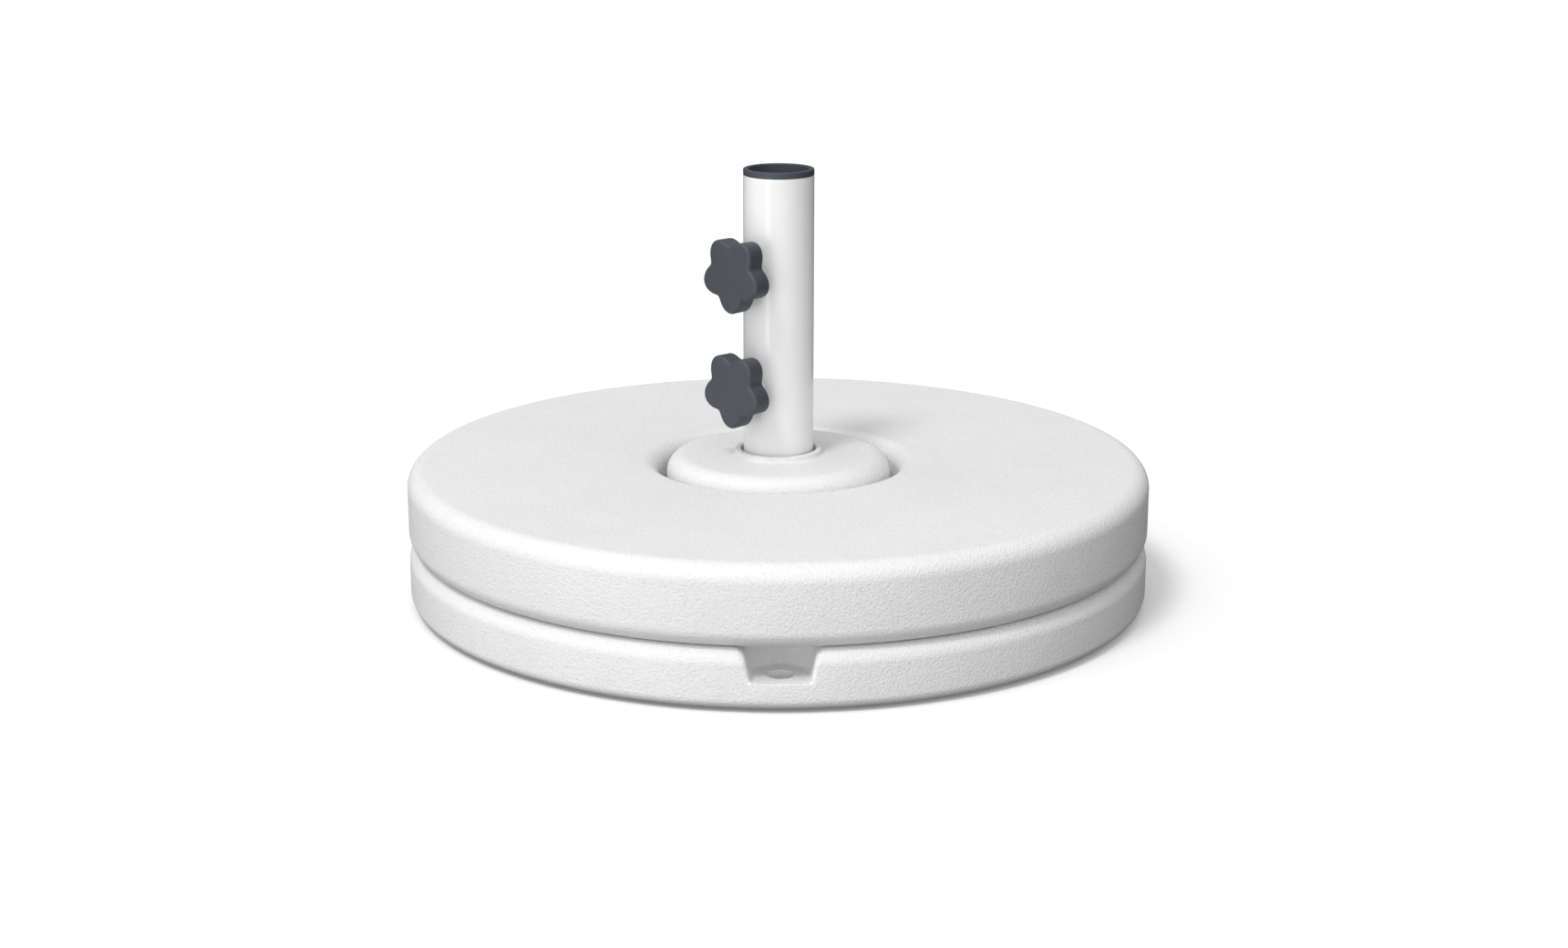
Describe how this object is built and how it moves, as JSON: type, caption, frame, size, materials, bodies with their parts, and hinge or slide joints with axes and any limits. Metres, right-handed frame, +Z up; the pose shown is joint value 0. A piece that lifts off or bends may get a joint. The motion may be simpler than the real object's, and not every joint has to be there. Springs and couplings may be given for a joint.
{
  "type": "parasol base",
  "caption": "Round weighted parasol base: a disc and a lift-off ring stacked round a steel pole tube, with star knobs that clamp the pole.",
  "frame": {"origin": "on the floor, under the centre of the pole tube", "axes": "+Z up along the pole tube; -Y through the front pocket of the lower disc; the clamp knobs point half way between -X and -Y"},
  "size_m": [0.636, 0.636, 0.368],
  "materials": {
    "white_shell": "fine sandy moulded grain",
    "white_coat": "satin white powder coat",
    "dark_plastic": "satin dark grey",
    "white_plug": "smooth moulded",
    "concrete": "rough cast",
    "zinc_steel": "zinc plated",
    "brass": "turned",
    "rubber": "matt black"
  },
  "bodies": {
    "base": {"lower_shell": "white_shell", "lower_ballast": "concrete", "foot_1": "rubber", "foot_2": "rubber", "foot_3": "rubber", "foot_4": "rubber", "foot_5": "rubber", "foot_6": "rubber", "pole_tube": "white_coat", "tube_flange": "zinc_steel", "flange_bolt_1": "zinc_steel", "flange_bolt_2": "zinc_steel", "flange_bolt_3": "zinc_steel", "flange_bolt_4": "zinc_steel", "flange_insert_1": "brass", "flange_insert_2": "brass", "flange_insert_3": "brass", "flange_insert_4": "brass", "top_collar": "dark_plastic", "pole_bush": "dark_plastic", "upper_weld_nut": "white_coat", "lower_weld_nut": "white_coat"},
    "ring_weight": {"upper_shell": "white_shell", "upper_ballast": "concrete"},
    "upper_pad": {"upper_pressure_pad": "dark_plastic"},
    "upper_clamp": {"upper_knob": "dark_plastic", "upper_stud": "zinc_steel"},
    "lower_pad": {"lower_pressure_pad": "dark_plastic"},
    "lower_clamp": {"lower_knob": "dark_plastic", "lower_stud": "zinc_steel"},
    "lower_seal": {"lower_plug_seal": "rubber"},
    "lower_plug": {"lower_filler_plug": "white_plug"},
    "upper_seal": {"upper_plug_seal": "rubber"},
    "upper_plug": {"upper_filler_plug": "white_plug"}
  },
  "joints": [
    {"name": "ring_lift", "type": "slide", "parent": "base", "child": "ring_weight", "axis": [0, 0, 1], "range_m": [0, 0.33]},
    {"name": "upper_pad_travel", "type": "slide", "parent": "base", "child": "upper_pad", "axis": [0.7071, 0.7071, 0], "range_m": [0, 0.006]},
    {"name": "upper_knob_turn", "type": "hinge", "parent": "upper_pad", "child": "upper_clamp", "pos_m": [-0.03, -0.03, 0.2842], "axis": [0.7071, 0.7071, 0], "range_deg": [0, 1440]},
    {"name": "lower_pad_travel", "type": "slide", "parent": "base", "child": "lower_pad", "axis": [0.7071, 0.7071, 0], "range_m": [0, 0.006]},
    {"name": "lower_knob_turn", "type": "hinge", "parent": "lower_pad", "child": "lower_clamp", "pos_m": [-0.03, -0.03, 0.1857], "axis": [0.7071, 0.7071, 0], "range_deg": [0, 1440]},
    {"name": "lower_plug_travel", "type": "slide", "parent": "base", "child": "lower_seal", "axis": [0, 0, 1], "range_m": [0, 0.008]},
    {"name": "lower_plug_turn", "type": "hinge", "parent": "lower_seal", "child": "lower_plug", "pos_m": [0, -0.295, 0.0245], "axis": [0, 0, 1], "range_deg": [0, 1440]},
    {"name": "upper_plug_travel", "type": "slide", "parent": "ring_weight", "child": "upper_seal", "axis": [0, 0, -1], "range_m": [0, 0.008]},
    {"name": "upper_plug_turn", "type": "hinge", "parent": "upper_seal", "child": "upper_plug", "pos_m": [0, 0.211, 0.0505], "axis": [0, 0, -1], "range_deg": [0, 1440]}
  ],
  "couplings": [
    {"joint": "upper_knob_turn", "follows": "upper_pad_travel", "rad_per_m": 4188.8},
    {"joint": "lower_knob_turn", "follows": "lower_pad_travel", "rad_per_m": 4188.8},
    {"joint": "lower_plug_turn", "follows": "lower_plug_travel", "rad_per_m": 3141.6},
    {"joint": "upper_plug_turn", "follows": "upper_plug_travel", "rad_per_m": 3141.6}
  ]
}
